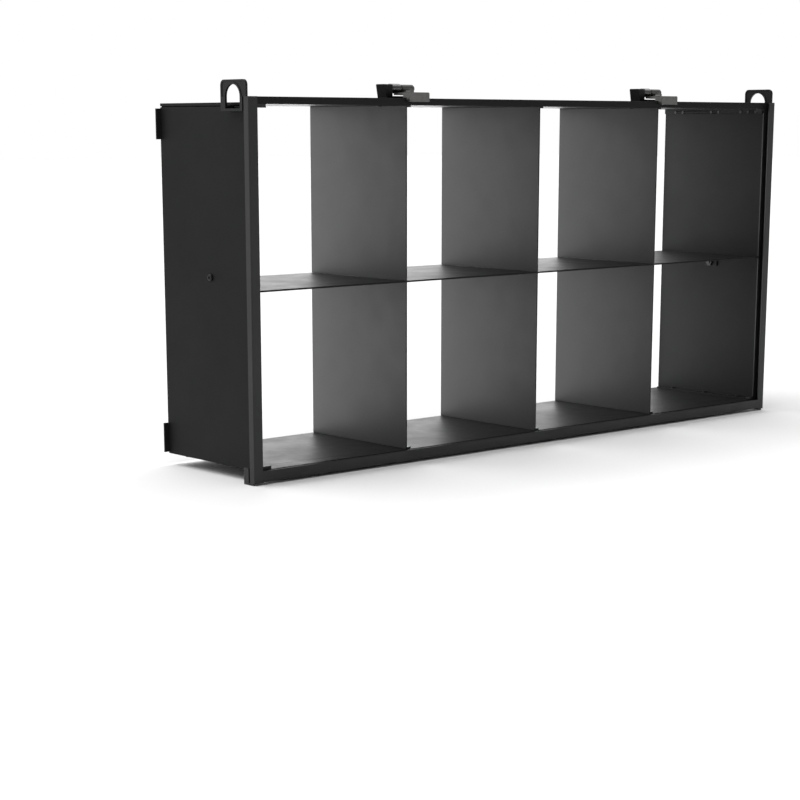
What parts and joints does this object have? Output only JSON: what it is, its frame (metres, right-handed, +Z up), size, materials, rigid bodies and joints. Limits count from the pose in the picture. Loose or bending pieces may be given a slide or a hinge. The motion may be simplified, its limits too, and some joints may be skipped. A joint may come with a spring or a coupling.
{
  "type": "egg-crate louvre attachment",
  "caption": "Egg-crate louvre box for a soft panel stage light, with a front accessory guide, lifting ears and sprung retaining latches.",
  "frame": {"origin": "middle of the footprint, on the surface the louvre stands on", "axes": "+X to the right seen from the front, +Y back towards the light, +Z up"},
  "size_m": [0.68, 0.1384, 0.3331],
  "materials": {
    "black_sheet": "satin black powder coat",
    "black_blade": "satin black powder coat, a little smoother than the panels'",
    "black_rail": "satin black powder coat",
    "black_casting": "semi-gloss black enamel over a casting",
    "black_fasteners": "black-finished rivets and screws",
    "screw_steel": "dark zinc-plated steel",
    "latch_steel": "brushed stainless steel",
    "spring_steel": "bright drawn spring wire"
  },
  "bodies": {
    "frame": {"left_side_panel": "black_sheet", "right_side_panel": "black_sheet", "top_panel": "black_sheet", "bottom_panel": "black_sheet", "horizontal_divider": "black_sheet", "left_divider": "black_blade", "middle_divider": "black_blade", "right_divider": "black_blade", "left_guide_rail": "black_rail", "right_guide_rail": "black_rail", "bottom_guide_rail": "black_rail", "left_ear": "black_casting", "right_ear": "black_casting", "left_foot_tab": "black_rail", "right_foot_tab": "black_rail", "roof_studs": "black_fasteners", "upper_foot_rivets": "black_fasteners", "lower_foot_rivets": "black_fasteners", "floor_rivets": "black_fasteners", "ear_screws": "black_fasteners", "shelf_screws": "black_fasteners", "shelf_nuts": "black_fasteners", "left_latch_base": "black_casting", "left_latch_pin": "screw_steel", "left_latch_spring": "spring_steel", "left_latch_rivets": "black_fasteners", "right_latch_base": "black_casting", "right_latch_pin": "screw_steel", "right_latch_spring": "spring_steel", "right_latch_rivets": "black_fasteners"},
    "left_latch": {"left_latch_lever": "latch_steel"},
    "right_latch": {"right_latch_lever": "latch_steel"}
  },
  "joints": [
    {"name": "left_latch_lift", "type": "hinge", "parent": "frame", "child": "left_latch", "pos_m": [-0.1645, -0.0412, 0.3281], "axis": [-1, 0, 0], "range_deg": [0, 80], "stiffness_Nm_per_rad": 0.03, "springref_deg": -40.11, "deforming": ["left_latch_spring"]},
    {"name": "right_latch_lift", "type": "hinge", "parent": "frame", "child": "right_latch", "pos_m": [0.1645, -0.0412, 0.3281], "axis": [-1, 0, 0], "range_deg": [0, 80], "stiffness_Nm_per_rad": 0.03, "springref_deg": -40.11, "deforming": ["right_latch_spring"]}
  ]
}
